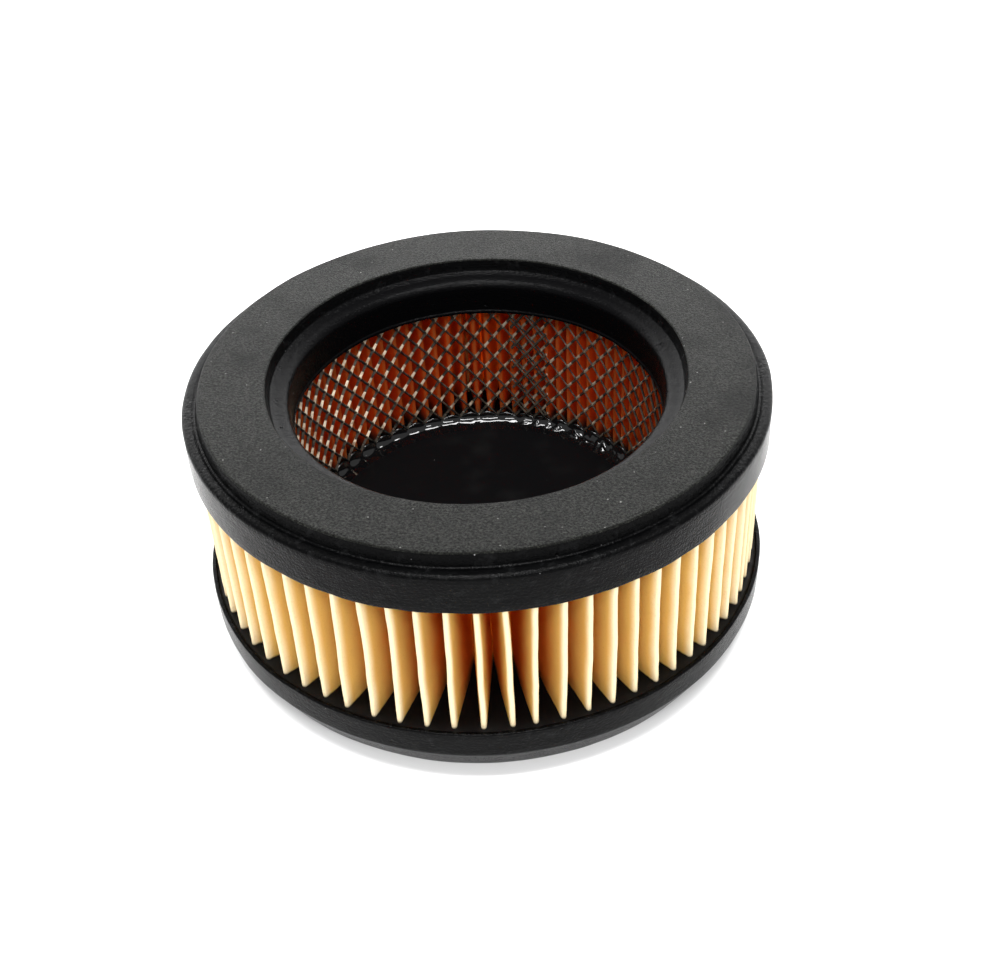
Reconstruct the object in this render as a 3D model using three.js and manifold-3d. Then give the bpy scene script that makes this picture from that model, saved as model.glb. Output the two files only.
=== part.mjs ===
// Round pleated air filter element for a small engine, closed at its lower end.
// Air passes inward through a ring of pleated paper, through a tube of expanded
// metal, and up out of the opening in the upper end cap. Both end caps are cast
// around the ends of the paper and of the tube, so nothing on it moves.
// Millimetres, +Z up. The origin is on the axis, in the plane it stands on.
import * as THREE from "three";
import { mergeVertices } from "three/addons/utils/BufferGeometryUtils.js";
import Module from "manifold-3d";

const wasm = await Module();
wasm.setup();

// ---------------------------------------------------------------- sizes
const overallHeight = 57.6;
const clearance = 0.3; // gap left between a cast cap and what is set in it

// Upper end cap
const capRadius = 62.0; // outer wall
const openingRadius = 39.8; // air outlet
const capDepth = 11.8; // from the sealing land down to the cap's lower face
const landRise = 2.7; // sealing land above the shoulder outside it
const shoulderWidth = 3.8; // from the land's outer edge out to the wall
const shoulderRounding = 1.9;
const ledgeWidth = 4.7; // from the opening out to the land's inner edge
const ledgeDrop = 3.3; // sealing land above the ledge inside it
const ledgeRounding = 2.2;
const edgeBreak = 0.4; // small rounding of the moulded edges

// Lower end cap
const lowerCapOverhang = 0.3; // how far it stands out past the upper cap
const lowerCapDepth = 12.6; // from the standing face up to the resin between the pleats
const kneeHeight = 7.0; // where its wall starts to taper in towards the standing face
const footInset = 3.9; // standing edge inside the wall
const rimRise = 0.5; // rim above that resin
const rimWidth = 0.9;
const recessDepth = 2.9; // middle of the underside above the standing face
const floorRise = 0.6; // inner floor above the resin between the pleats
const meniscusRise = 1.7; // resin that climbs the tube, above the inner floor
const meniscusWidth = 3.6;

// Parts set in the caps
const pottingDepth = 4.0; // how far the paper and the tube reach into each cap
const lipWall = 0.8; // cap material between the opening and the tube
const tubeThickness = 0.8;
const capWall = 1.6; // cap material outside the pleat tips
const paperThickness = 0.7;
const pleatCount = 78;
const pleatCrowding = 0.2; // share by which the pleat pitch swells and shrinks around the ring
const widestPleatAngle = -Math.PI / 4; // where the pitch is widest, from -Y towards +X
const seamPleat = 43; // the pleat, counted from -Y towards +X, where the strip's ends meet
const beadThickness = 0.8;
const beadWidth = 6.0;
const beadInset = 0.6; // bead's outer edge behind the pleat tips

// Expanded metal
const meshPitchAround = 9.2;
const meshPitchUp = 11.6;
const strandShare = 0.2; // solid part of each half pitch, measured along the pitch

const roundSegments = 72;
const roundingSteps = 3;

// ---------------------------------------------------------------- derived places
const lowerCapRadius = capRadius + lowerCapOverhang;
const capBottom = overallHeight - capDepth;
const ledgeTop = overallHeight - ledgeDrop;
const landInner = openingRadius + ledgeWidth;
const tubeInner = openingRadius + lipWall + clearance;
const tubeOuter = tubeInner + tubeThickness;
const foldRadius = tubeOuter + clearance;
const tipRadius = capRadius - capWall;
const innerFloor = lowerCapDepth + floorRise;
const pottedBottom = lowerCapDepth - pottingDepth;
const pottedTop = capBottom + pottingDepth;

// ---------------------------------------------------------------- solids
function toManifold(geometry) {
  const bare = geometry.clone();
  bare.deleteAttribute("normal");
  bare.deleteAttribute("uv");
  const merged = mergeVertices(bare, 1e-4);
  const vertProperties = new Float32Array(merged.attributes.position.array);
  const triVerts = new Uint32Array(merged.index.array);
  return new wasm.Manifold(new wasm.Mesh({ numProp: 3, vertProperties, triVerts }));
}

function toGeometry(manifold) {
  const mesh = manifold.getMesh();
  const geometry = new THREE.BufferGeometry();
  geometry.setAttribute("position", new THREE.BufferAttribute(mesh.vertProperties, 3));
  geometry.setIndex(new THREE.BufferAttribute(mesh.triVerts, 1));
  geometry.computeVertexNormals();
  return geometry;
}

// A solid of revolution about Z. The profile runs counter-clockwise in (radius, height).
function turned(profile) {
  const points = profile.map(([radius, height]) => new THREE.Vector2(radius, height));
  const geometry = new THREE.LatheGeometry(points, roundSegments);
  return toManifold(geometry.rotateX(Math.PI / 2));
}

function ring(innerRadius, outerRadius, low, high) {
  return turned([
    [innerRadius, low],
    [outerRadius, low],
    [outerRadius, high],
    [innerRadius, high],
    [innerRadius, low],
  ]);
}

function upright(outline, low, high) {
  const shape = new THREE.Shape(outline.map(([x, y]) => new THREE.Vector2(x, y)));
  const geometry = new THREE.ExtrudeGeometry(shape, { depth: high - low, bevelEnabled: false });
  return geometry.translate(0, 0, low);
}

function arc(centreRadius, centreHeight, size, from, to) {
  const points = [];
  for (let step = 0; step <= roundingSteps; step += 1) {
    const angle = from + ((to - from) * step) / roundingSteps;
    points.push([centreRadius + size * Math.cos(angle), centreHeight + size * Math.sin(angle)]);
  }
  return points;
}

// ---------------------------------------------------------------- pleated paper
// Angles run from -Y towards +X.
function direction(angle) {
  return [Math.sin(angle), -Math.cos(angle)];
}

// Where the pleat numbered `place` stands. Whole numbers are tips and halves are folds.
function pleatAngle(place) {
  const even = (2 * Math.PI * (place + 0.5)) / pleatCount;
  const swell = Math.sin(even - widestPleatAngle) + Math.sin(widestPleatAngle);
  return even + pleatCrowding * swell;
}

function crossing(pointA, alongA, pointB, alongB) {
  const det = alongA[0] * alongB[1] - alongA[1] * alongB[0];
  const gap = [pointB[0] - pointA[0], pointB[1] - pointA[1]];
  const distance = (gap[0] * alongB[1] - gap[1] * alongB[0]) / det;
  return [pointA[0] + alongA[0] * distance, pointA[1] + alongA[1] * distance];
}

// One flank of a pleat, as its two faces. It runs from the tip at tipAngle in to the
// fold at foldAngle. The face inside the pleat starts on the tip's centre line, or
// `spread` to its side, and the face outside it ends on the fold's centre line.
function flank(tipAngle, foldAngle, grow, spread) {
  const side = Math.sign(foldAngle - tipAngle);
  const tip = direction(tipAngle);
  const fold = direction(foldAngle);
  const across = [-tip[1] * side, tip[0] * side];
  const start = tipRadius - paperThickness;
  const end = foldRadius + paperThickness;
  const from = [tip[0] * start + across[0] * spread, tip[1] * start + across[1] * spread];
  const to = [fold[0] * end, fold[1] * end];
  const length = Math.hypot(to[0] - from[0], to[1] - from[1]);
  const turn = side * Math.asin(paperThickness / length);
  const straight = [(to[0] - from[0]) / length, (to[1] - from[1]) / length];
  const along = [
    straight[0] * Math.cos(turn) - straight[1] * Math.sin(turn),
    straight[0] * Math.sin(turn) + straight[1] * Math.cos(turn),
  ];
  const outward = [along[1] * side, -along[0] * side];
  return {
    along,
    inner: [from[0] - outward[0] * grow, from[1] - outward[1] * grow],
    outer: [to[0] + outward[0] * grow, to[1] + outward[1] * grow],
  };
}

// Point where a face meets the straight edge that closes a tip or a fold.
function atEdge(face, along, angle, radius) {
  const out = direction(angle);
  return crossing(face, along, [out[0] * radius, out[1] * radius], [-out[1], out[0]]);
}

// Outline of the paper strip from one end round to the other, grown by `grow`.
function paperOutline(grow) {
  const spread = beadThickness / 2 + clearance;
  const outside = [];
  const inside = [];
  for (let count = 0; count < pleatCount; count += 1) {
    const place = seamPleat + count;
    const tipAngle = pleatAngle(place);
    const foldAngle = pleatAngle(place + 0.5);
    const nextTip = pleatAngle(place + 1);
    const first = count === 0;
    const last = count === pleatCount - 1;
    const down = flank(tipAngle, foldAngle, grow, first ? spread : 0);
    const up = flank(nextTip, foldAngle, grow, last ? spread : 0);
    outside.push(atEdge(down.outer, down.along, tipAngle, tipRadius + grow));
    outside.push(crossing(down.outer, down.along, up.outer, up.along));
    outside.push(atEdge(up.outer, up.along, nextTip, tipRadius + grow));
    if (first) {
      inside.push(atEdge(down.inner, down.along, tipAngle, tipRadius + grow));
    }
    inside.push(atEdge(down.inner, down.along, foldAngle, foldRadius - grow));
    inside.push(atEdge(up.inner, up.along, foldAngle, foldRadius - grow));
    if (last) {
      inside.push(atEdge(up.inner, up.along, nextTip, tipRadius + grow));
    } else {
      const beyond = flank(nextTip, pleatAngle(place + 1.5), grow, 0);
      inside.push(crossing(up.inner, up.along, beyond.inner, beyond.along));
    }
  }
  return outside.concat(inside.reverse());
}

// Outline of the glue bead that joins the strip's two ends, grown by `grow`.
function beadOutline(grow) {
  const out = direction(pleatAngle(seamPleat));
  const across = [-out[1], out[0]];
  const far = tipRadius - beadInset + grow;
  const near = tipRadius - beadInset - beadWidth - grow;
  const half = beadThickness / 2 + grow;
  const corners = [
    [near, -half],
    [far, -half],
    [far, half],
    [near, half],
  ];
  return corners.map(([r, s]) => [out[0] * r + across[0] * s, out[1] * r + across[1] * s]);
}

// Everything that a cap leaves room for, between two heights.
function pottingSlots(low, high) {
  const paper = toManifold(upright(paperOutline(clearance), low, high));
  const bead = toManifold(upright(beadOutline(clearance), low, high));
  const tube = ring(tubeInner - clearance, tubeOuter + clearance, low, high);
  return paper.add(bead).add(tube);
}

// ---------------------------------------------------------------- end caps
// Moulded outline of the upper cap, from its wall in to the ledge.
function sealingFace() {
  const edge = capRadius - shoulderWidth;
  const shoulder = overallHeight - landRise;
  const crest = [capRadius - shoulderRounding, shoulder - shoulderRounding];
  const groove = shoulderWidth - shoulderRounding;
  return [
    ...arc(crest[0], crest[1], shoulderRounding, 0, Math.PI / 2),
    [edge + groove / 2, shoulder - edgeBreak],
    [edge + edgeBreak, shoulder],
    [edge, overallHeight - edgeBreak],
    [edge - edgeBreak, overallHeight],
    [landInner + edgeBreak, overallHeight],
    [landInner, overallHeight - edgeBreak],
  ];
}

function makeTopCap() {
  const crest = [openingRadius + ledgeRounding, ledgeTop - ledgeRounding];
  const start = [openingRadius, capBottom];
  const body = turned([
    start,
    [capRadius - edgeBreak, capBottom],
    [capRadius, capBottom + edgeBreak],
    ...sealingFace(),
    [landInner - 2 * edgeBreak, ledgeTop + 2 * edgeBreak],
    ...arc(crest[0], crest[1], ledgeRounding, Math.PI / 2, Math.PI),
    start,
  ]);
  return body.subtract(pottingSlots(capBottom - 1, pottedTop + clearance));
}

function makeBottomCap() {
  const footRadius = lowerCapRadius - footInset;
  const rimTop = lowerCapDepth + rimRise;
  const slotInner = tubeInner - clearance;
  const meniscus = [];
  for (let step = 0; step <= 2 * roundingSteps; step += 1) {
    const share = step / (2 * roundingSteps);
    const height = innerFloor + meniscusRise * (1 - share) ** 2;
    meniscus.push([slotInner - meniscusWidth * share, height]);
  }
  const body = turned([
    [0, recessDepth],
    [landInner - 2 * edgeBreak, recessDepth],
    [landInner, edgeBreak],
    [landInner + edgeBreak, 0],
    [footRadius - edgeBreak, 0],
    [footRadius, edgeBreak],
    [lowerCapRadius - edgeBreak, kneeHeight - edgeBreak],
    [lowerCapRadius, kneeHeight + edgeBreak],
    [lowerCapRadius, rimTop - edgeBreak],
    [lowerCapRadius - edgeBreak, rimTop],
    [lowerCapRadius - rimWidth, rimTop],
    [lowerCapRadius - rimWidth - rimRise, lowerCapDepth],
    [tubeOuter + clearance, lowerCapDepth],
    ...meniscus,
    [0, innerFloor],
  ]);
  const above = Math.max(rimTop, innerFloor + meniscusRise) + 1;
  return body.subtract(pottingSlots(pottedBottom - clearance, above));
}

// ---------------------------------------------------------------- expanded metal tube
// Diamond openings on a staggered lattice, with a plain band at each end that the
// caps cover. Column and row count half pitches.
function makeMeshTube() {
  const around = Math.round((2 * Math.PI * tubeInner) / meshPitchAround);
  const columns = 2 * around;
  const bandFree = pottedTop - pottedBottom - pottingDepth;
  const rows = 2 * Math.max(1, Math.round(bandFree / meshPitchUp));
  const band = (pottedTop - pottedBottom - (rows / 2) * meshPitchUp) / 2;
  const bandHeight = Math.max(band, 1);
  const rowHeight = (pottedTop - pottedBottom - 2 * bandHeight) / rows;
  const positions = [];
  const found = new Map();
  const triangles = [];

  function vertex(column, row, face) {
    const turnedColumn = ((column % columns) + columns) % columns;
    const key = `${turnedColumn.toFixed(3)} ${row.toFixed(3)} ${face}`;
    if (!found.has(key)) {
      const out = direction((2 * Math.PI * turnedColumn) / columns);
      const radius = face ? tubeOuter : tubeInner;
      let height = pottedBottom + bandHeight + row * rowHeight;
      height = row < 0 ? pottedBottom : height;
      height = row > rows ? pottedTop : height;
      found.set(key, positions.length / 3);
      positions.push(out[0] * radius, out[1] * radius, height);
    }
    return found.get(key);
  }

  // A flat patch on both faces of the sheet; corners run counter-clockwise seen from outside.
  function patch(corners) {
    for (let second = 1; second < corners.length - 1; second += 1) {
      const trio = [corners[0], corners[second], corners[second + 1]];
      triangles.push(...trio.map(([column, row]) => vertex(column, row, 1)));
      triangles.push(...trio.reverse().map(([column, row]) => vertex(column, row, 0)));
    }
  }

  // The cut edge from one corner to the next, with the metal on its left seen from outside.
  function cutEdge([columnA, rowA], [columnB, rowB]) {
    const outerA = vertex(columnA, rowA, 1);
    const outerB = vertex(columnB, rowB, 1);
    const innerA = vertex(columnA, rowA, 0);
    const innerB = vertex(columnB, rowB, 0);
    triangles.push(innerA, innerB, outerB, innerA, outerB, outerA);
  }

  const open = 1 - strandShare;
  for (let column = 0; column < columns; column += 1) {
    for (let row = 0; row <= rows; row += 1) {
      const east = [column + strandShare, row];
      const west = [column - strandShare, row];
      const north = [column, row + strandShare];
      const south = [column, row - strandShare];
      const isNode = (column + row) % 2 === 0;
      if (isNode && row < rows) {
        patch([west, east, north]);
        patch([east, [column + 1, row + open], [column + open, row + 1], north]);
        patch([north, [column - open, row + 1], [column - 1, row + open], west]);
      }
      if (isNode && row > 0) {
        patch([east, west, south]);
      }
      if (!isNode) {
        const right = [column + open, row];
        const left = [column - open, row];
        const top = [column, row + open];
        const bottom = [column, row - open];
        if (row < rows) {
          cutEdge(top, right);
          cutEdge(left, top);
        } else {
          cutEdge(left, right);
        }
        if (row > 0) {
          cutEdge(right, bottom);
          cutEdge(bottom, left);
        } else {
          cutEdge(right, left);
        }
      }
    }
    const bandEdges = [
      [0, -1],
      [rows, rows + 1],
    ];
    for (const [latticeRow, endRow] of bandEdges) {
      const shift = latticeRow % 2 === 0 ? 0 : 1;
      if ((column + shift) % 2 === 0) {
        const lattice = [column - strandShare, column + strandShare, column + 2 - strandShare];
        for (let piece = 0; piece < 2; piece += 1) {
          const a = [lattice[piece], latticeRow];
          const b = [lattice[piece + 1], latticeRow];
          const aEnd = [lattice[piece], endRow];
          const bEnd = [lattice[piece + 1], endRow];
          patch(endRow < latticeRow ? [aEnd, bEnd, b, a] : [a, b, bEnd, aEnd]);
          if (endRow < latticeRow) {
            cutEdge(aEnd, bEnd);
          } else {
            cutEdge(bEnd, aEnd);
          }
        }
      }
    }
  }
  const geometry = new THREE.BufferGeometry();
  geometry.setAttribute("position", new THREE.Float32BufferAttribute(positions, 3));
  geometry.setIndex(triangles);
  geometry.computeVertexNormals();
  return geometry;
}

// ---------------------------------------------------------------- assembly
function finish(color, roughness, metalness) {
  return new THREE.MeshStandardMaterial({ color, roughness, metalness });
}

const pieces = {
  bottom_end_cap: [toGeometry(makeBottomCap()), finish(0x1d1d1e, 0.55, 0)],
  inner_mesh_tube: [makeMeshTube(), finish(0x5f5a52, 0.4, 0.8)],
  pleated_paper: [upright(paperOutline(0), pottedBottom, pottedTop), finish(0xe0b66c, 0.9, 0)],
  paper_seam_bead: [upright(beadOutline(0), pottedBottom, pottedTop), finish(0xb88a4a, 0.5, 0)],
  top_end_cap: [toGeometry(makeTopCap()), finish(0x3a3b3c, 0.75, 0)],
};

const filterElement = new THREE.Group();
for (const [name, [geometry, material]] of Object.entries(pieces)) {
  const mesh = new THREE.Mesh(geometry, material);
  mesh.name = name;
  filterElement.add(mesh);
}

export default filterElement;
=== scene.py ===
"""Looks of a round pleated air filter element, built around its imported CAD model.

Every length below is in millimetres, and becomes metres where a mesh, a light or the
camera is made. Angles around the element run from the front (-Y) towards +X.
"""
import math
import random

import bpy
import numpy as np
from mathutils import Matrix, Vector, noise
from mathutils.kdtree import KDTree


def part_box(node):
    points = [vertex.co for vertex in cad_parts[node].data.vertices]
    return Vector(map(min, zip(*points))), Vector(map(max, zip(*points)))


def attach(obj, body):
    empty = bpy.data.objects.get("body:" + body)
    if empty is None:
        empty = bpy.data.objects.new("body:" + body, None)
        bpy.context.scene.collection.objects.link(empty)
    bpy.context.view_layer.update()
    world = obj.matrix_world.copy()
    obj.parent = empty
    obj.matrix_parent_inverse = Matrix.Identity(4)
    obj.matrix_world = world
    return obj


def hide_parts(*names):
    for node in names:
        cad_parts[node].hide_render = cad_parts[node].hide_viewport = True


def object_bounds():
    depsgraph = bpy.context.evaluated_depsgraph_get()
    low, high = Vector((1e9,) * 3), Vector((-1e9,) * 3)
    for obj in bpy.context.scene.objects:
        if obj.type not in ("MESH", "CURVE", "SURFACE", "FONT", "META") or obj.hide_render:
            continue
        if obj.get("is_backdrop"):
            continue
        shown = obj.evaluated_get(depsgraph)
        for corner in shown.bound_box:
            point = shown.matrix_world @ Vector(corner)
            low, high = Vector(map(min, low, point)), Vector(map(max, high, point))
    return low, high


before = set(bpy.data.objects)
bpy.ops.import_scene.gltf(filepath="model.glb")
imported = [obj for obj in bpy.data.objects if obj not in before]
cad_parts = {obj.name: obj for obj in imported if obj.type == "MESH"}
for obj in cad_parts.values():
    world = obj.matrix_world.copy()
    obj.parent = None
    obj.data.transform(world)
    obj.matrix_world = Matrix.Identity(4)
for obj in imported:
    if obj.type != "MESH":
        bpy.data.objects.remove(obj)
cad_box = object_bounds()

MM = 0.001
BODY = "root"

# ------------------------------------------------------------------ sizes from the frame


def reach(node):
    """Lowest height, highest height and outer radius of a CAD node, in millimetres."""
    low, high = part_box(node)
    return low.z / MM, high.z / MM, max(high.x, -low.x) / MM


CAP_BOTTOM, TOP, CAP_RADIUS = reach("top_end_cap")
FOOT, _, RIM_RADIUS = reach("bottom_end_cap")
PAPER_LOW, PAPER_HIGH, TIP_RADIUS = reach("pleated_paper")
TUBE_OUTER = reach("inner_mesh_tube")[2]

# Sizes that the frame's boxes don't hold
TUBE_THICKNESS = 0.8
OPENING_RADIUS = 39.8
LAND_RISE = 2.7
SHOULDER_WIDTH = 3.8
SHOULDER_ROUNDING = 1.9
LEDGE_WIDTH = 4.7
LEDGE_DROP = 3.3
LEDGE_ROUNDING = 2.2
RESIN_LEVEL = 12.6
INNER_FLOOR = 13.2
RIM_RISE = 0.5
KNEE_HEIGHT = 7.0
FOOT_INSET = 3.9
UNDERSIDE_RECESS = 2.9
FOLD_RADIUS = TUBE_OUTER + 0.3
TUBE_MIDDLE = TUBE_OUTER - TUBE_THICKNESS / 2
POOL_EDGE = RIM_RADIUS - 1.2  # where the resin's free surface meets the moulded rim
MENISCUS_FOOT = 37.4  # radius where the flat floor inside begins to rise to the tube

PLEATS = 78
PLEAT_CROWDING = 0.2
WIDEST_PLEAT = -math.pi / 4
SEAM_PLEAT = 43
PAPER_THICKNESS = 0.5
FOLD_BEND = 0.3
SEAM_GAP = 1.2  # between the strip's two ends, for the glue
BEAD_THICKNESS = 1.16
BEAD_WIDTH = 5.8
BEAD_INSET = 3.4  # of its middle, from the tips
CREAM = (0.86, 0.75, 0.48)
GOLD = (0.97, 0.65, 0.17)
# Painted glow: this deep red-orange is laid deep in the pleats, for light passed through and
# bounced between them.
DEEP_FOLD_GLOW = (1.0, 0.27, 0.022)
# Paper's inside face: AMBER is a painted highlight along its fold apexes, MAROON is painted shade.
AMBER = (0.4, 0.155, 0.045)
MAROON = (0.2, 0.032, 0.01)

DIAMONDS = 56
DIAMOND_HEIGHT = 5.8
HALF_DIAMOND = math.pi / DIAMONDS  # its turn around the tube
STRAND_WIDTH = 0.74
STRAND_THICKNESS = 0.34
STRAND_LEAN = math.radians(42)
LAP_ANGLE = math.radians(163)
LAP_COLUMNS = 4  # half diamonds under the lap
LAP_INSET = 0.42  # of the inner layer
LAP_SLIP = 0.42  # upward slip of the inner layer, in half diamonds
LAP_STUB = 0.4  # of a cut strand past its last knot, in half diamonds
LUMPY_ANGLE = math.radians(140)  # middle of the stretch where the meniscus is lumpiest

# ------------------------------------------------------------------ mesh tools


def toward(angle):
    """Unit vector in the XY plane at an angle around the element."""
    return math.sin(angle), -math.cos(angle)


def uneven(point, size, seed=0.0):
    """Smooth noise between about -1 and 1 at a point, with features of a size, in millimetres."""
    x, y, z = point
    return noise.noise(Vector((x / size + seed, y / size - seed, z / size + 2 * seed)))


def make_mesh(name, points, faces, smooth=True):
    """An object from points in millimetres and faces of point numbers."""
    mesh = bpy.data.meshes.new(name)
    mesh.from_pydata((np.asarray(points, float) * MM).tolist(), [], faces)
    mesh.update()
    if smooth:
        mesh.shade_smooth()
    piece = bpy.data.objects.new(name, mesh)
    bpy.context.scene.collection.objects.link(piece)
    return piece


def grid_faces(rows, columns, wrap_rows=False, wrap_columns=False):
    """Four-sided faces of a grid whose points are numbered row by row."""
    faces = []
    for row in range(rows if wrap_rows else rows - 1):
        below = row * columns
        above = (row + 1) % rows * columns
        for column in range(columns if wrap_columns else columns - 1):
            beside = (column + 1) % columns
            faces.append((below + column, below + beside, above + beside, above + column))
    return faces


def filleted(corners, steps=5):
    """An outline through corners (radius, height, fillet), each rounded by its own fillet."""
    outline = []
    count = len(corners)
    for place, (radius, height, fillet) in enumerate(corners):
        here = Vector((radius, height))
        before = Vector(corners[place - 1][:2]) - here
        after = Vector(corners[(place + 1) % count][:2]) - here
        bend = before.angle(after, 0.0)
        if fillet <= 0 or bend < 0.01 or bend > math.pi - 0.02:
            outline.append((radius, height))
            continue
        cut = min(fillet / math.tan(bend / 2), 0.49 * before.length, 0.49 * after.length)
        size = cut * math.tan(bend / 2)
        centre = here + (before.normalized() + after.normalized()).normalized() * (
            size / math.sin(bend / 2)
        )
        start = here + before.normalized() * cut - centre
        turn = start.angle_signed(here + after.normalized() * cut - centre, 0.0)
        for step in range(steps + 1):
            spun = start.copy()
            spun.rotate(Matrix.Rotation(-turn * step / steps, 2))
            outline.append(tuple(centre + spun))
    return outline


def filled_in(outline, longest, closed=True):
    """The outline with points added, so that no stretch is longer than `longest`."""
    points = []
    count = len(outline)
    for place in range(count if closed else count - 1):
        (r0, z0), (r1, z1) = outline[place], outline[(place + 1) % count]
        pieces = max(1, math.ceil(math.hypot(r1 - r0, z1 - z0) / longest))
        for piece in range(pieces):
            share = piece / pieces
            points.append((r0 + (r1 - r0) * share, z0 + (z1 - z0) * share))
    if not closed:
        points.append(outline[-1])
    return points


def turned(name, outline, segments, shape=None):
    """A turned piece from a counter-clockwise outline of (radius, height).

    The outline closes on itself, or starts and ends on the axis. shape moves a point.
    """
    on_axis = outline[0][0] == 0
    rim = outline[1:-1] if on_axis else outline
    points = []
    for step in range(segments):
        x, y = toward(2 * math.pi * step / segments)
        for radius, height in rim:
            point = (radius * x, radius * y, height)
            points.append(shape(point, radius) if shape else point)
    faces = grid_faces(segments, len(rim), wrap_rows=True, wrap_columns=not on_axis)
    if on_axis:
        poles = len(points), len(points) + 1
        for height in (outline[0][1], outline[-1][1]):
            points.append(shape((0.0, 0.0, height), 0.0) if shape else (0.0, 0.0, height))
        for step in range(segments):
            here = step * len(rim)
            after = (step + 1) % segments * len(rim)
            faces.append((poles[0], here, after))
            faces.append((poles[1], after + len(rim) - 1, here + len(rim) - 1))
    return make_mesh(name, points, [face[::-1] for face in faces])


# ------------------------------------------------------------------ material tools


class Value:
    """An output of a node. Arithmetic on it adds Math nodes."""

    def __init__(self, nodes, socket):
        self.nodes = nodes
        self.socket = socket

    def maths(self, operation, first, second):
        return self.nodes.node("ShaderNodeMath", {"operation": operation}, first, second)

    def __add__(self, other):
        return self.maths("ADD", self, other)

    def __sub__(self, other):
        return self.maths("SUBTRACT", self, other)

    def __rsub__(self, other):
        return self.maths("SUBTRACT", other, self)

    def __mul__(self, other):
        return self.maths("MULTIPLY", self, other)

    __radd__ = __add__
    __rmul__ = __mul__

    def rise(self, start, end):
        """0 below start, 1 above end, and smooth between."""
        settings = {"interpolation_type": "SMOOTHSTEP"}
        return self.nodes.node("ShaderNodeMapRange", settings, self, start, end, 0.0, 1.0)

    def fall(self, start, end):
        return 1 - self.rise(start, end)


class Nodes:
    """A node tree under construction."""

    def __init__(self, tree):
        self.tree = tree
        tree.nodes.clear()

    def node(self, kind, settings, *values, output=0, **named):
        """Adds a node. Settings come first, then its inputs in order or by name."""
        node = self.tree.nodes.new(kind)
        for key, setting in settings.items():
            setattr(node, key, setting)
        for place, value in enumerate(values):
            self.feed(node.inputs[place], value)
        for key, value in named.items():
            self.feed(node.inputs[key.replace("_", " ")], value)
        return Value(self, node.outputs[output] if node.outputs else None)

    def feed(self, socket, value):
        if isinstance(value, Value):
            self.tree.links.new(value.socket, socket)
        elif value is not None:
            socket.default_value = value

    def stretched(self, vector, by):
        return self.node("ShaderNodeVectorMath", {"operation": "MULTIPLY"}, vector, by)

    def part_of(self, vector, axis):
        return self.node("ShaderNodeSeparateXYZ", {}, vector, output=axis)


class Finish(Nodes):
    """A material under construction. Places and sizes in it are in millimetres."""

    def __init__(self, name):
        self.material = bpy.data.materials.new(name)
        self.material.use_nodes = True
        super().__init__(self.material.node_tree)
        own = self.node("ShaderNodeTexCoord", {}, output="Object")
        self.place = self.stretched(own, (1 / MM, 1 / MM, 1 / MM))
        self.height = self.part_of(self.place, "Z")
        flat = self.stretched(self.place, (1, 1, 0))
        length = {"operation": "LENGTH"}
        self.radius = self.node("ShaderNodeVectorMath", length, flat, output="Value")

    def grain(self, size, detail=2.0, where=None, rough=0.5):
        """Noise from 0 to 1 with features of a size."""
        return self.node(
            "ShaderNodeTexNoise",
            {},
            Vector=where or self.place,
            Scale=1 / size,
            Detail=detail,
            Roughness=rough,
            output="Fac",
        )

    def cells(self, size, where=None, output="Distance"):
        """Distance to the nearest of scattered points, or that point's random colour."""
        vector = where or self.place
        return self.node("ShaderNodeTexVoronoi", {}, Vector=vector, Scale=1 / size, output=output)

    def dots(self, size, share, dot, where=None):
        """Round dots of radius `dot` (in cells) in a share of the cells of a size."""
        chance = self.node(
            "ShaderNodeSeparateColor", {}, self.cells(size, where, "Color"), output="Red"
        )
        near = self.cells(size, where).fall(dot * 0.6, dot)
        return near * chance.fall(share, share + 0.02)

    def colours(self, first, second, share):
        """A mix of two colours, each a value or (red, green, blue)."""
        first = (*first, 1.0) if isinstance(first, tuple) else first
        second = (*second, 1.0) if isinstance(second, tuple) else second
        skipped = (None,) * 5
        kind = {"data_type": "RGBA"}
        return self.node("ShaderNodeMix", kind, share, *skipped, first, second, output=2)

    def bumps(self, height, strength=1.0):
        """A normal from a height in millimetres."""
        return self.node(
            "ShaderNodeBump", {}, Strength=strength, Distance=MM, Height=height, output="Normal"
        )

    def surface(self, **sockets):
        return self.node("ShaderNodeBsdfPrincipled", {}, **sockets)

    def done(self, shader):
        self.node("ShaderNodeOutputMaterial", {}, shader)
        return self.material


def sealing_land(name):
    """The sandy face that seals: matt, with pale grit in it and a few smudges."""
    finish = Finish(name)
    smudges = finish.grain(16.0, 3.0).rise(0.5, 0.72)
    sand = finish.grain(0.5, 3.0, rough=0.85).rise(0.42, 0.75)
    coarse = finish.grain(1.1, 2.0)
    grit = finish.dots(2.3, 0.06, 0.09) + finish.dots(1.2, 0.04, 0.14)
    colour = finish.colours((0.0002, 0.0003, 0.0001), (0.034, 0.035, 0.03), sand)
    colour = finish.colours(colour, (0.005, 0.005, 0.0052), smudges * 0.5)
    colour = finish.colours(colour, (0.24, 0.24, 0.23), grit)
    relief = 0.22 * sand + 0.05 * coarse + 0.04 * finish.grain(3.0, 2.0)
    shader = finish.surface(
        Base_Color=colour,
        Roughness=0.4 + 0.1 * coarse + 0.1 * smudges,
        Normal=finish.bumps(relief),
        Specular_IOR_Level=0.07,
    )
    return finish.done(shader)


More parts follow.
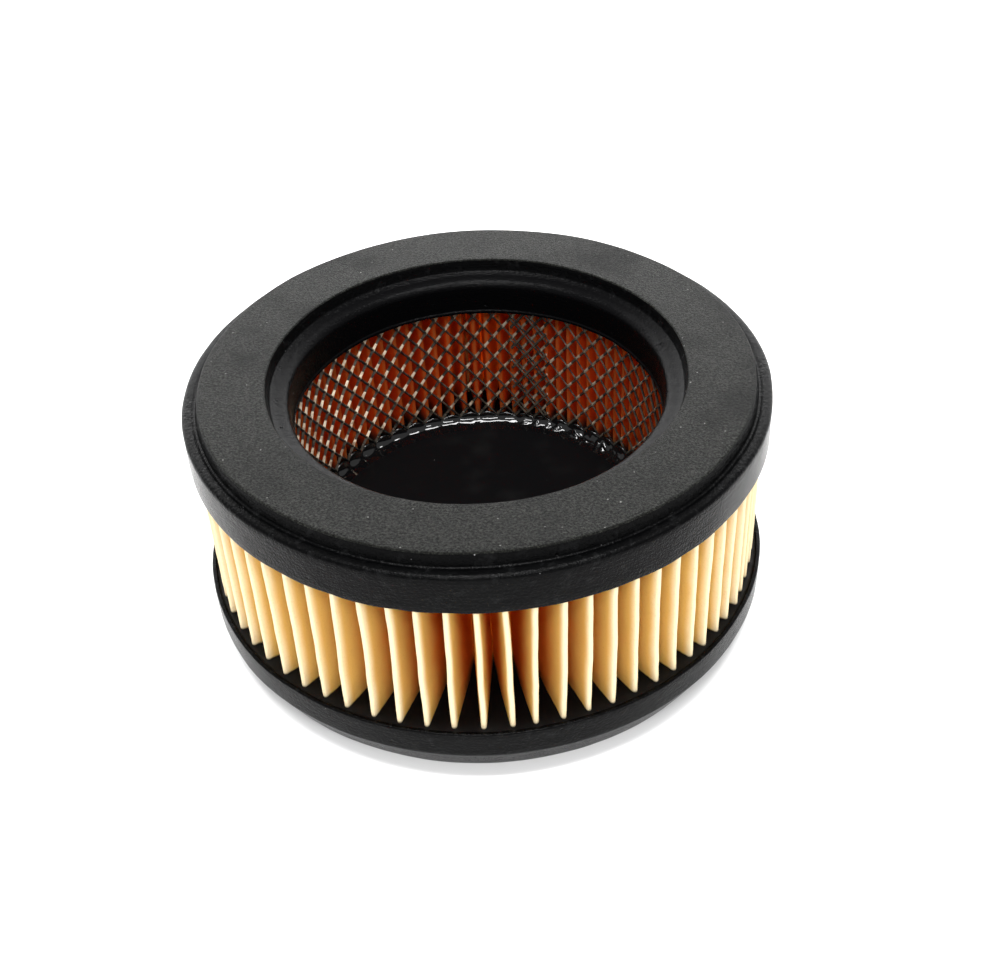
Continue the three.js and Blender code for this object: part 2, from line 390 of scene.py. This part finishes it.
def moulded_rubber(name):
    """The rest of a cast cap: smoother and blacker, with wipe marks and small bubbles."""
    finish = Finish(name)
    around = finish.stretched(finish.place, (0.12, 0.12, 2.4))
    bore = finish.radius.fall(OPENING_RADIUS + 2.6, OPENING_RADIUS + 4.4)
    streaks = finish.grain(1.0, 3.0, around)
    scuffs = finish.grain(2.6, 4.0, rough=0.65).rise(0.52, 0.72)
    sand = finish.grain(0.6, 2.0, rough=0.8)
    bubbles = finish.dots(3.1, 0.2, 0.15)
    grit = finish.dots(2.3, 0.04, 0.07)
    colour = finish.colours((0.0003, 0.0003, 0.0004), (0.0014, 0.0015, 0.0016), streaks)
    colour = finish.colours(colour, (0.016, 0.0165, 0.017), scuffs * 0.25)
    colour = finish.colours(colour, (0.001, 0.001, 0.001), bubbles)
    colour = finish.colours(colour, (0.2, 0.2, 0.2), grit)
    colour = finish.colours(colour, (0.0012, 0.0012, 0.0014), bore)
    relief = 0.16 * sand + 0.05 * streaks - 0.22 * bubbles + 0.05 * finish.grain(3.0, 2.0)
    shader = finish.surface(
        Base_Color=colour,
        Roughness=0.15 + 0.1 * streaks + 0.08 * scuffs,
        Normal=finish.bumps(relief),
        Specular_IOR_Level=0.04,
    )
    return finish.done(shader)


def coat(cap, land_height):
    """Gives a cap its two moulded finishes: on faces at the land's height, and elsewhere."""
    side = "top" if land_height > FOOT else "bottom"
    cap.data.materials.append(moulded_rubber(f"moulded_rubber_{side}"))
    cap.data.materials.append(sealing_land(f"sealing_land_{side}"))
    for face in cap.data.polygons:
        if abs(face.center.z / MM - land_height) < 0.6:
            face.material_index = 1


def cured_resin(name, gloss, smoothness):
    """Free surface of the cast resin: black and wet-looking inside, with a little dust."""
    finish = Finish(name)
    dust = finish.dots(4.2, 0.07, 0.03) + finish.dots(1.9, 0.02, 0.05)
    haze = finish.grain(9.0, 3.0).rise(0.5, 0.8)
    outside = finish.radius.rise(FOLD_RADIUS - 0.4, FOLD_RADIUS + 0.6)
    rim = finish.radius.rise(TIP_RADIUS + 0.2, TIP_RADIUS + 0.7)
    scuffs = finish.grain(1.2, 3.0).rise(0.45, 0.75)
    colour = finish.colours((0.002, 0.002, 0.0022), (0.004, 0.004, 0.004), haze)
    colour = finish.colours(colour, (0.012, 0.012, 0.012), rim * scuffs)
    colour = finish.colours(colour, (0.3, 0.29, 0.27), dust * (1 - 0.7 * outside))
    rough = smoothness + 0.06 * haze + 0.36 * outside + 0.1 * scuffs * outside
    relief = 0.025 * finish.grain(2.4, 2.0) + 0.01 * finish.grain(0.8, 1.0)
    shader = finish.surface(
        Base_Color=colour,
        Roughness=rough,
        Normal=finish.bumps(relief, 0.6),
        Specular_IOR_Level=gloss,
    )
    return finish.done(shader)


def filter_paper(name, fold, valley, flank, tip):
    """Resin-impregnated paper on one face of the strip, coloured from its folds to its tips."""
    finish = Finish(name)
    slanted = finish.node(
        "ShaderNodeMapping", {}, finish.place, (0, 0, 0), (0.0, 0.5, 0.0), (1.0, 1.0, 0.4)
    )
    fibres = finish.grain(0.5, 4.0, rough=0.7)
    clouds = finish.grain(2.2, 4.0, slanted)
    depth = finish.radius + 3.0 * (clouds - 0.5)
    at_fold = finish.radius.fall(FOLD_RADIUS + 0.05, FOLD_RADIUS + 0.3)
    at_flank = depth.rise(FOLD_RADIUS + 6.5, TIP_RADIUS - 2.6)
    at_tip = (finish.radius + 0.8 * (clouds - 0.5)).rise(TIP_RADIUS - 2.4, TIP_RADIUS - 0.2)

    # Near-black low down: the paper's resin-stained edge at the resin's level, and above it
    # painted shade that climbs up to 5 mm into the deep folds. Dark red where the paper enters the
    # upper cap.
    climb = finish.radius.fall(FOLD_RADIUS, TIP_RADIUS - 2.0)
    ragged = finish.grain(1.6, 3.0)
    above = finish.height - RESIN_LEVEL - 0.5 * ragged
    low = 1 - above.rise(-0.2, 0.55) * (1 - climb * above.fall(0.0, 5.0))
    high = (finish.height - CAP_BOTTOM + 0.5 * ragged).rise(-0.35, 0.1)

    # Colour by distance from the axis, from the folds out to the tips. Deep in the pleats and on
    # the inside face these colours are painted light (see make_paper).
    colour = finish.colours(valley, flank, at_flank)
    colour = finish.colours(colour, fold, at_fold)
    colour = finish.colours(colour, tip, at_tip)
    colour = finish.colours(colour, (0.4, 0.17, 0.04), fibres.rise(0.5, 0.85) * 0.35)
    # Painted shade in the folds and the resin stain, then the dark red edge at the upper cap
    colour = finish.colours(colour, (0.006, 0.003, 0.002), low)
    colour = finish.colours(colour, (0.09, 0.012, 0.004), high)
    relief = 0.05 * fibres + 0.06 * clouds
    bumps = finish.bumps(relief)
    sheet = finish.surface(Base_Color=colour, Roughness=0.85, Normal=bumps, Specular_IOR_Level=0.2)
    glow = finish.node("ShaderNodeBsdfTranslucent", {}, Color=(0.95, 0.36, 0.06, 1.0))
    through = 0.42 + 0.3 * finish.radius.fall(FOLD_RADIUS, TIP_RADIUS - 6.0) - 0.25 * at_tip
    through *= (1 - low) * (1 - high)
    return finish.done(finish.node("ShaderNodeMixShader", {}, through, sheet, glow))


def expanded_steel(name, dull, clean, metallic):
    """Sheet steel, blotched by the oven: black with resin low down."""
    finish = Finish(name)
    blotches = finish.grain(1.6, 3.0)
    fine = finish.grain(0.35, 2.0)
    colour = finish.colours(dull, clean, blotches.rise(0.3, 0.65))
    wet = (finish.height - RESIN_LEVEL - 3.4 - 1.4 * finish.grain(1.5, 2.0)).fall(-0.5, 0.3)
    colour = finish.colours(colour, (0.006, 0.006, 0.006), wet * 0.95)
    shader = finish.surface(
        Base_Color=colour,
        Metallic=metallic * (1 - wet),
        Roughness=0.32 + 0.2 * blotches - 0.2 * wet,
        Normal=finish.bumps(0.03 * fine),
    )
    return finish.done(shader)


def seam_glue():
    """Amber hot-melt glue."""
    finish = Finish("seam_glue")
    clouds = finish.grain(2.2, 3.0)
    colour = finish.colours((0.42, 0.2, 0.05), (0.6, 0.34, 0.12), clouds)
    rough = 0.28 + 0.2 * clouds
    bumps = finish.bumps(0.12 * finish.grain(1.2, 2.0))
    return finish.done(finish.surface(Base_Color=colour, Roughness=rough, Normal=bumps))


def white_floor():
    finish = Finish("white_floor")
    colour = finish.colours((0.86, 0.86, 0.86), (0.88, 0.88, 0.88), finish.grain(60.0))
    return finish.done(finish.surface(Base_Color=colour, Roughness=0.9, Specular_IOR_Level=0.1))


# ------------------------------------------------------------------ end caps

CAP_SEGMENTS = 480
POOL_SEGMENTS = 560  # ten for each diamond of the mesh


def sealing_face():
    """Corners of the upper cap's moulded outline from its wall in to the ledge.

    Each is (radius, height, fillet).
    """
    edge = CAP_RADIUS - SHOULDER_WIDTH
    inner = OPENING_RADIUS + LEDGE_WIDTH
    shoulder = TOP - LAND_RISE
    return [
        (CAP_RADIUS, shoulder, SHOULDER_ROUNDING),
        (edge + 1.8, shoulder, 0.8),
        (edge + 1.25, shoulder - 0.2, 0.4),
        (edge + 0.85, shoulder - 0.1, 0.4),
        (edge + 0.1, TOP, 0.45),
        (inner - 0.05, TOP, 0.4),
        (inner - 0.75, TOP - LEDGE_DROP + 0.6, 0.5),
    ]


def cast_wobble(edge_height, edge_ripple, swelling):
    """Slight unevenness of a cast piece, stronger at the free edge that the resin ended at."""

    def wobble(point, radius):
        x, y, z = point
        swell = swelling * (uneven((x, y, 0.4 * z), 15.0) - 0.5)
        swell += 0.04 * uneven(point, 4.0, 3.1)
        near_edge = math.exp(-(((z - edge_height) / 0.8) ** 2))
        ripple = edge_ripple * near_edge * uneven((x, y, 0.0), 5.0, 7.7)
        grow = 1 + min(swell, 0.0) / max(radius, 1.0)
        return x * grow, y * grow, z + ripple

    return wobble


def make_top_cap():
    lip = 0.25
    corners = [
        (OPENING_RADIUS - lip, CAP_BOTTOM, 0.15),
        (CAP_RADIUS, CAP_BOTTOM, 0.45),
        *sealing_face(),
        (OPENING_RADIUS + LEDGE_ROUNDING + 0.6, TOP - LEDGE_DROP + 0.15, 0.7),
        (OPENING_RADIUS, TOP - LEDGE_DROP - 0.5, LEDGE_ROUNDING),
        (OPENING_RADIUS, CAP_BOTTOM + 0.9, 0.2),
        (OPENING_RADIUS - lip, CAP_BOTTOM + 0.6, 0.2),
    ]
    outline = filled_in(filleted(corners), 1.3)
    cap = turned("top_cap", outline, CAP_SEGMENTS, cast_wobble(CAP_BOTTOM, 0.22, 0.22))
    coat(cap, TOP)
    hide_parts("top_end_cap")
    return cap


def make_bottom_cap(paper_outline):
    """The lower cap: a moulded wall and underside, with the resin's free surface on top.

    Inside, that surface climbs the tube in a lumpy meniscus, with a small wave for each
    diamond of the mesh. Outside, it clings to the paper.
    """
    rim_top = RESIN_LEVEL + RIM_RISE
    land_inner = OPENING_RADIUS + LEDGE_WIDTH
    corners = [
        (0.0, UNDERSIDE_RECESS, 0),
        (land_inner - 0.8, UNDERSIDE_RECESS, 0.4),
        (land_inner, FOOT, 0.4),
        (RIM_RADIUS - FOOT_INSET, FOOT, 0.6),
        (RIM_RADIUS - 0.1, KNEE_HEIGHT, 1.6),
        (RIM_RADIUS, rim_top, 0.35),
        (RIM_RADIUS - 0.9, rim_top, 0.3),
        (POOL_EDGE, RESIN_LEVEL, 0),
    ]
    moulded = filled_in(filleted(corners), 1.6, closed=False)
    radii = [POOL_EDGE - 0.5 * step for step in range(1, 36)]
    radii += list(np.arange(42.8, 38.9, -0.2)) + list(np.arange(38.6, 35.0, -0.45))
    radii += [33.0, 29.0, 23.0, 16.0, 8.0, 0.0]
    pool = [(float(radius), RESIN_LEVEL) for radius in radii]

    tree = KDTree(len(paper_outline))
    for place, point in enumerate(paper_outline):
        tree.insert((point.x, point.y, 0.0), place)
    tree.balance()
    wobble = cast_wobble(rim_top, 0.12, 0.22)

    def shape(point, radius):
        x, y, height = point
        if height != RESIN_LEVEL or radius > POOL_EDGE:
            return wobble(point, radius)
        spot = (x, y, 0.0)
        angle = math.atan2(x, -y)
        wave = abs(math.sin(DIAMONDS * angle / 2))
        crowd = 0.5 + 0.5 * uneven(spot, 9.0, 1.5)
        lumpy = math.exp(-(((angle - LUMPY_ANGLE) / 0.4) ** 2))
        inside = 1 / (1 + math.exp((radius - TUBE_MIDDLE) / 0.25))
        level = RESIN_LEVEL + (INNER_FLOOR - RESIN_LEVEL) * inside
        gap = abs(radius - TUBE_MIDDLE)
        climb = (1.9 + 0.9 * crowd) * math.exp(-gap / 0.75) + 0.55 * math.exp(-gap / 2.2)
        climb *= 0.82 + 0.3 * wave
        drops = uneven(spot, 1.5, 4.0) + 0.5 * uneven(spot, 0.8, 6.0)
        ring = math.exp(-(((radius - 39.7) / 0.9) ** 2))
        bubbles = ring * (0.1 + 1.3 * lumpy) * max(0.0, drops + 0.05)
        cling = 0.0
        if radius > FOLD_RADIUS - 0.5:
            distance = tree.find(spot)[2] - PAPER_THICKNESS / 2
            deep = 1 - (radius - FOLD_RADIUS) / (TIP_RADIUS - FOLD_RADIUS)
            cling = (0.1 + 0.5 * max(deep, 0.0)) * math.exp(-max(distance, 0.0) / 0.4)
        swell = 0.05 * uneven(spot, 7.0, 2.0)
        return x, y, level + climb + bubbles + cling + swell

    cap = turned("bottom_cap", moulded + pool, POOL_SEGMENTS, shape)
    coat(cap, FOOT)
    cap.data.materials.append(cured_resin("cured_resin", 0.12, 0.05))
    cap.data.materials.append(cured_resin("resin_meniscus", 0.34, 0.03))
    cap.data.materials.append(cured_resin("resin_floor", 0.05, 0.3))
    for face in cap.data.polygons:
        radius = face.center.xy.length / MM
        if face.center.z / MM > RESIN_LEVEL - 0.3 and radius < POOL_EDGE:
            inside = 3 if radius > MENISCUS_FOOT else 4
            face.material_index = 2 if radius > FOLD_RADIUS else inside
    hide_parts("bottom_end_cap")
    return cap


# ------------------------------------------------------------------ pleated paper


def pleat_angle(place):
    """Where pleat `place` stands. Whole numbers are tips and halves are folds."""
    even = 2 * math.pi * (place + 0.5) / PLEATS
    return even + PLEAT_CROWDING * (math.sin(even - WIDEST_PLEAT) + math.sin(WIDEST_PLEAT))


def bend_centre(place):
    """Centre of the bend at a tip or a fold."""
    is_tip = place == round(place)
    if is_tip:
        radius = TIP_RADIUS - PAPER_THICKNESS / 2 - FOLD_BEND
    else:
        radius = FOLD_RADIUS + PAPER_THICKNESS / 2 + FOLD_BEND
    x, y = toward(pleat_angle(place))
    return Vector((x * radius, y * radius)), is_tip


def tangent_between(place, following):
    """The straight flank that leaves one bend and meets the next, which turns the other way."""
    start, start_is_tip = bend_centre(place)
    end, _ = bend_centre(following)
    gap = end - start
    lean = math.asin(min(1.0, 2 * FOLD_BEND / gap.length))
    side = 1 if start_is_tip else -1
    along = gap.normalized()
    along.rotate(Matrix.Rotation(-side * lean, 2))
    across = Vector((along.y, -along.x)) * side
    return start + across * FOLD_BEND, end - across * FOLD_BEND


def strip_path():
    """Middle line of the paper strip, as (point, share of the way out to the tips, pleat)."""
    path = []
    bend_steps, flank_steps = 5, 7
    last = SEAM_PLEAT + PLEATS
    place = float(SEAM_PLEAT)
    seam_half = SEAM_GAP / 2
    while place < last:
        following = place + 0.5
        start, end = tangent_between(place, following)
        if place == SEAM_PLEAT:
            out = Vector(toward(pleat_angle(place)))
            start = out * (TIP_RADIUS - 0.4) + Vector((-out.y, out.x)) * seam_half
        if following == last:
            out = Vector(toward(pleat_angle(following)))
            end = out * (TIP_RADIUS - 0.7) - Vector((-out.y, out.x)) * seam_half
        for step in range(flank_steps + 1):
            path.append((start.lerp(end, step / flank_steps), place))
        if following < last:
            centre, _ = bend_centre(following)
            entry = end - centre
            leaving = tangent_between(following, following + 0.5)[0] - centre
            turn = entry.angle_signed(leaving, 0.0)
            for step in range(1, bend_steps):
                spun = entry.copy()
                spun.rotate(Matrix.Rotation(-turn * step / bend_steps, 2))
                path.append((centre + spun, following))
        place = following
    return path


def make_paper():
    draw = random.Random(11)
    lean = [draw.uniform(-0.45, 0.45) for _ in range(PLEATS)]
    bow = [draw.uniform(-0.3, 0.3) for _ in range(PLEATS)]
    push = [draw.uniform(-0.3, 0.1) for _ in range(PLEATS)]
    lean[0] = bow[0] = push[0] = 0.0  # the glued pleat
    path = strip_path()
    rows = 20
    middle = (PAPER_LOW + PAPER_HIGH) / 2
    half = (PAPER_HIGH - PAPER_LOW) / 2
    lines = []
    for row in range(rows + 1):
        share = 2 * row / rows - 1
        height = middle + half * share
        line = []
        for point, place in path:
            out = point.normalized()
            across = Vector((-out.y, out.x))
            far = (point.length - FOLD_RADIUS) / (TIP_RADIUS - FOLD_RADIUS)
            pleat = (int(place + 0.75) - SEAM_PLEAT) % PLEATS
            spot = (point.x, point.y, height)
            sideways = far * (lean[pleat] * share + bow[pleat] * (1 - share**2))
            sideways += 0.22 * far * uneven(spot, 9.0) + 0.06 * uneven(spot, 2.2, 5.0)
            outward = far**3 * (push[pleat] + 0.08 * uneven(spot, 3.0, 9.0))
            line.append(point + across * sideways + out * outward)
        lines.append((height, line))
    sheets = [[], []]
    for height, line in lines:
        for place, point in enumerate(line):
            ahead = line[min(place + 1, len(line) - 1)] - line[max(place - 1, 0)]
            normal = Vector((ahead.y, -ahead.x)).normalized() * (PAPER_THICKNESS / 2)
            sheets[0].append((*(point + normal), height))
            sheets[1].append((*(point - normal), height))
    points = sheets[0] + sheets[1]
    columns = len(path)
    count = len(sheets[0])
    outside = grid_faces(rows + 1, columns)
    inside = [tuple(count + number for number in face[::-1]) for face in outside]
    rim = [row * columns for row in range(rows + 1)]
    low = list(range(columns))
    high = [rows * columns + number for number in range(columns)]
    far_end = [row * columns + columns - 1 for row in range(rows + 1)]
    edges = []
    for side, flip in ((low, True), (high, False), (rim, False), (far_end, True)):
        for a, b in zip(side, side[1:]):
            face = (a, b, count + b, count + a)
            edges.append(face[::-1] if flip else face)
    paper = make_mesh("paper_pleats", points, outside + inside + edges)
    # Outside face: deep red-orange at the folds and valleys as painted glow, gold flanks, cream
    # tips.
    paper.data.materials.append(filter_paper("paper_outside", DEEP_FOLD_GLOW, DEEP_FOLD_GLOW, GOLD, CREAM))
    # Inside face: a shaded copy of the paper, dark red-brown as painted shade, with a painted
    # highlight along the fold apexes and the painted glow colour at the tips.
    paper.data.materials.append(filter_paper("paper_inside_shaded", AMBER, MAROON, MAROON, DEEP_FOLD_GLOW))
    for face in paper.data.polygons[len(outside) : len(outside) + len(inside)]:
        face.material_index = 1
    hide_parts("pleated_paper")
    return paper


def make_seam_bead():
    """The glue that joins the strip's ends, a wavering strip in the seam pleat."""
    angle = pleat_angle(SEAM_PLEAT)
    out = Vector(toward(angle))
    across = Vector((-out.y, out.x))
    around, rows = 12, 60
    points = []
    for row in range(rows + 1):
        height = PAPER_LOW + (PAPER_HIGH - PAPER_LOW) * row / rows
        swell = 1 + 0.12 * uneven((0.0, 0.0, height), 2.5, 2.2)
        shift = 0.25 * uneven((0.0, 0.0, height), 6.0, 4.4)
        for step in range(around):
            turn = 2 * math.pi * step / around
            reach_out = TIP_RADIUS - BEAD_INSET + shift
            reach_out += BEAD_WIDTH / 2 * swell * math.cos(turn)
            spot = out * reach_out + across * (BEAD_THICKNESS / 2 * swell * math.sin(turn))
            points.append((*spot, height))
    faces = grid_faces(rows + 1, around, wrap_columns=True)
    faces.append(tuple(range(around))[::-1])
    faces.append(tuple(rows * around + step for step in range(around)))
    bead = make_mesh("seam_bead", points, faces)
    bead.data.materials.append(seam_glue())
    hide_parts("paper_seam_bead")
    return bead


# ------------------------------------------------------------------ expanded metal tube


def ribbon(points, faces, radius, foot, turn, start, end):
    """One slanting ribbon of the mesh, from leg `start` to leg `end` of its climb.

    A leg runs from one knot to the next. foot is the (angle, height) of leg 0, and turn is 1
    or -1. Returns the faces painted as lit: two sides of each leg's first half when turn is -1.
    """
    steps = max(1, round((end - start) * 4))
    first = len(points)
    for step in range(steps + 1):
        leg = start + (end - start) * step / steps
        angle = foot[0] + turn * leg * HALF_DIAMOND
        x, y = toward(angle)
        out = Vector((x, y, 0.0))
        side = Vector((-y, x, 0.0))
        climb = Vector((0, 0, DIAMOND_HEIGHT / 2))
        along = (side * (turn * HALF_DIAMOND * radius) + climb).normalized()
        flat = side * math.cos(STRAND_LEAN) + out * math.sin(STRAND_LEAN)
        flat = (flat - along * flat.dot(along)).normalized()
        thin = along.cross(flat)
        pinch = 1.0 - 0.25 * abs(math.sin(math.pi * leg))
        centre = Vector((x * radius, y * radius, foot[1] + leg * climb.z))
        half_width = STRAND_WIDTH * pinch / 2
        half_thick = STRAND_THICKNESS / 2
        for u, v in ((-1, -1), (1, -1), (1, 1), (-1, 1)):
            points.append(tuple(centre + flat * (u * half_width) + thin * (v * half_thick)))
    # Faces painted as lit, which take the pale steel: a painted highlight
    lit_faces = []
    for step in range(steps):
        below = first + 4 * step
        leg = start + (end - start) * (step + 0.5) / steps
        for corner in range(4):
            beside = (corner + 1) % 4
            if turn < 0 and corner in (2, 3) and leg % 1 < 0.5:
                lit_faces.append(len(faces))
            faces.append((below + corner, below + beside, below + 4 + beside, below + 4 + corner))
    faces.append((first + 3, first + 2, first + 1, first))
    end_ring = first + 4 * steps
    faces.append((end_ring, end_ring + 1, end_ring + 2, end_ring + 3))
    return lit_faces


def make_mesh_tube():
    """Expanded steel rolled into a tube, with its two ends lapped over each other."""
    points, faces, lit_faces = [], [], []
    rise = DIAMOND_HEIGHT / 2
    low_end, high_end = PAPER_LOW + 0.4, PAPER_HIGH - 0.4
    legs = math.floor((high_end - low_end) / rise)
    for column in range(0, 2 * DIAMONDS, 2):
        for turn in (-1, 1):
            foot = (column * HALF_DIAMOND, low_end)
            lit_faces += ribbon(points, faces, TUBE_MIDDLE, foot, turn, 0, legs)

    # Inside the lap, both cut edges show as short stubs past the last knots; their ends are
    # painted glints
    last_column = LAP_COLUMNS - 1
    for row in range(-last_column, legs):
        turn = 1 if row % 2 == 0 else -1
        column = 0 if turn > 0 else last_column
        height = low_end + (row + LAP_SLIP) * rise
        foot = (LAP_ANGLE + (column - LAP_COLUMNS / 2) * HALF_DIAMOND, height)
        start = max(-LAP_STUB, (low_end - height) / rise)
        end = min(last_column + LAP_STUB, (high_end - height) / rise)
        if end - start > LAP_STUB:
            ribbon(points, faces, TUBE_MIDDLE - LAP_INSET, foot, turn, start, end)
            # The stub's two end faces: painted glints
            lit_faces += [len(faces) - 2, len(faces) - 1]
    tube = make_mesh("mesh_tube", points, faces, smooth=False)
    # The steel's own dark colour, and a pale copy for the faces painted as lit: painted highlight
    rolled = expanded_steel("rolled_steel", (0.016, 0.013, 0.01), (0.075, 0.062, 0.045), 0.5)
    lit_steel = expanded_steel("steel_painted_lit", (0.34, 0.25, 0.16), (0.85, 0.74, 0.56), 0.8)
    tube.data.materials.append(rolled)
    tube.data.materials.append(lit_steel)
    for number in lit_faces:
        tube.data.polygons[number].material_index = 1
    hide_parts("inner_mesh_tube")
    return tube


# ------------------------------------------------------------------ floor, light, camera


def make_floor():
    size = 3500.0
    level = FOOT - 0.05  # just clear of the standing face
    corners = [(x * size, y * size, level) for x, y in ((-1, -1), (1, -1), (1, 1), (-1, 1))]
    floor = make_mesh("floor", corners, [(0, 1, 2, 3)], smooth=False)
    floor.data.materials.append(white_floor())
    floor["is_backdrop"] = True


def softbox(name, place, target, size, power, stretch=1.0):
    light = bpy.data.lights.new(name, "AREA")
    light.shape = "RECTANGLE"
    light.size = size
    light.size_y = size * stretch
    light.energy = power
    lamp = bpy.data.objects.new(name, light)
    lamp.location = place
    lamp.rotation_euler = (Vector(target) - Vector(place)).to_track_quat("-Z", "Y").to_euler()
    bpy.context.scene.collection.objects.link(lamp)


def light_studio():
    """A white room, brightest low at the back, with a softbox above the element."""
    world = bpy.data.worlds.new("white_studio")
    bpy.context.scene.world = world
    world.use_nodes = True
    room = Nodes(world.node_tree)
    direction = room.node("ShaderNodeTexCoord", {}, output="Generated")
    back = room.part_of(direction, "Y").rise(0.35, 0.95)
    height = room.part_of(direction, "Z")
    strength = 0.86 + 0.16 * height.fall(0.1, 0.3) + 4.6 * back * height.fall(0.45, 0.72)
    background = room.node("ShaderNodeBackground", {}, (1.0, 1.0, 1.0, 1.0), strength)
    room.node("ShaderNodeOutputWorld", {}, background)
    softbox("top_softbox", (0.0, -0.1, 1.1), (0, 0, 0), 0.8, 18.0, 0.25)
    softbox("front_strip", (0.0, -0.75, 0.95), (0, 0, 0), 0.6, 8.0, 0.18)


def place_camera():
    """Looks down at the front from VIEW_HEIGHT, with a slight roll, aimed just off the middle."""
    view_height = math.radians(39.30)
    roll = math.radians(3.44)
    distance = 325.6 * MM
    aim = Vector((0.0, 0.0, 24.8 * MM))
    aim_right, aim_down = -0.0117, 0.0018
    back = Vector((0.0, -math.cos(view_height), math.sin(view_height)))
    straight = (-back).to_track_quat("-Z", "Y").to_matrix()
    off_middle = Vector((aim_right, -aim_down, -1.0)).normalized()
    pan = off_middle.rotation_difference(Vector((0.0, 0.0, -1.0))).to_matrix()
    data = bpy.data.cameras.new("camera")
    data.lens = 52.29
    data.sensor_width = 36.0
    data.clip_start = 0.01
    camera = bpy.data.objects.new("camera", data)
    turn = straight @ Matrix.Rotation(-roll, 3, "Z") @ pan
    camera.matrix_world = Matrix.Translation(aim + back * distance) @ turn.to_4x4()
    bpy.context.scene.collection.objects.link(camera)
    bpy.context.scene.camera = camera


# ------------------------------------------------------------------ assembly

bpy.context.scene.view_settings.view_transform = "Standard"
place_camera()
light_studio()
make_floor()

paper_line = [point for point, _ in strip_path()]
outline_points = []
for first, second in zip(paper_line, paper_line[1:]):
    pieces = max(1, round((second - first).length / 0.3))
    outline_points += [first.lerp(second, piece / pieces) for piece in range(pieces)]

finished = {
    make_top_cap(): "end_cap_rubber",
    make_bottom_cap(outline_points): "end_cap_rubber",
    make_paper(): "filter_paper",
    make_seam_bead(): "seam_glue",
    make_mesh_tube(): "expanded_metal",
}
for piece, slot in finished.items():
    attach(piece, BODY)

boxes = {"cad": cad_box, "visual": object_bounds()}
{name: [list(corner) for corner in box] for name, box in boxes.items()}
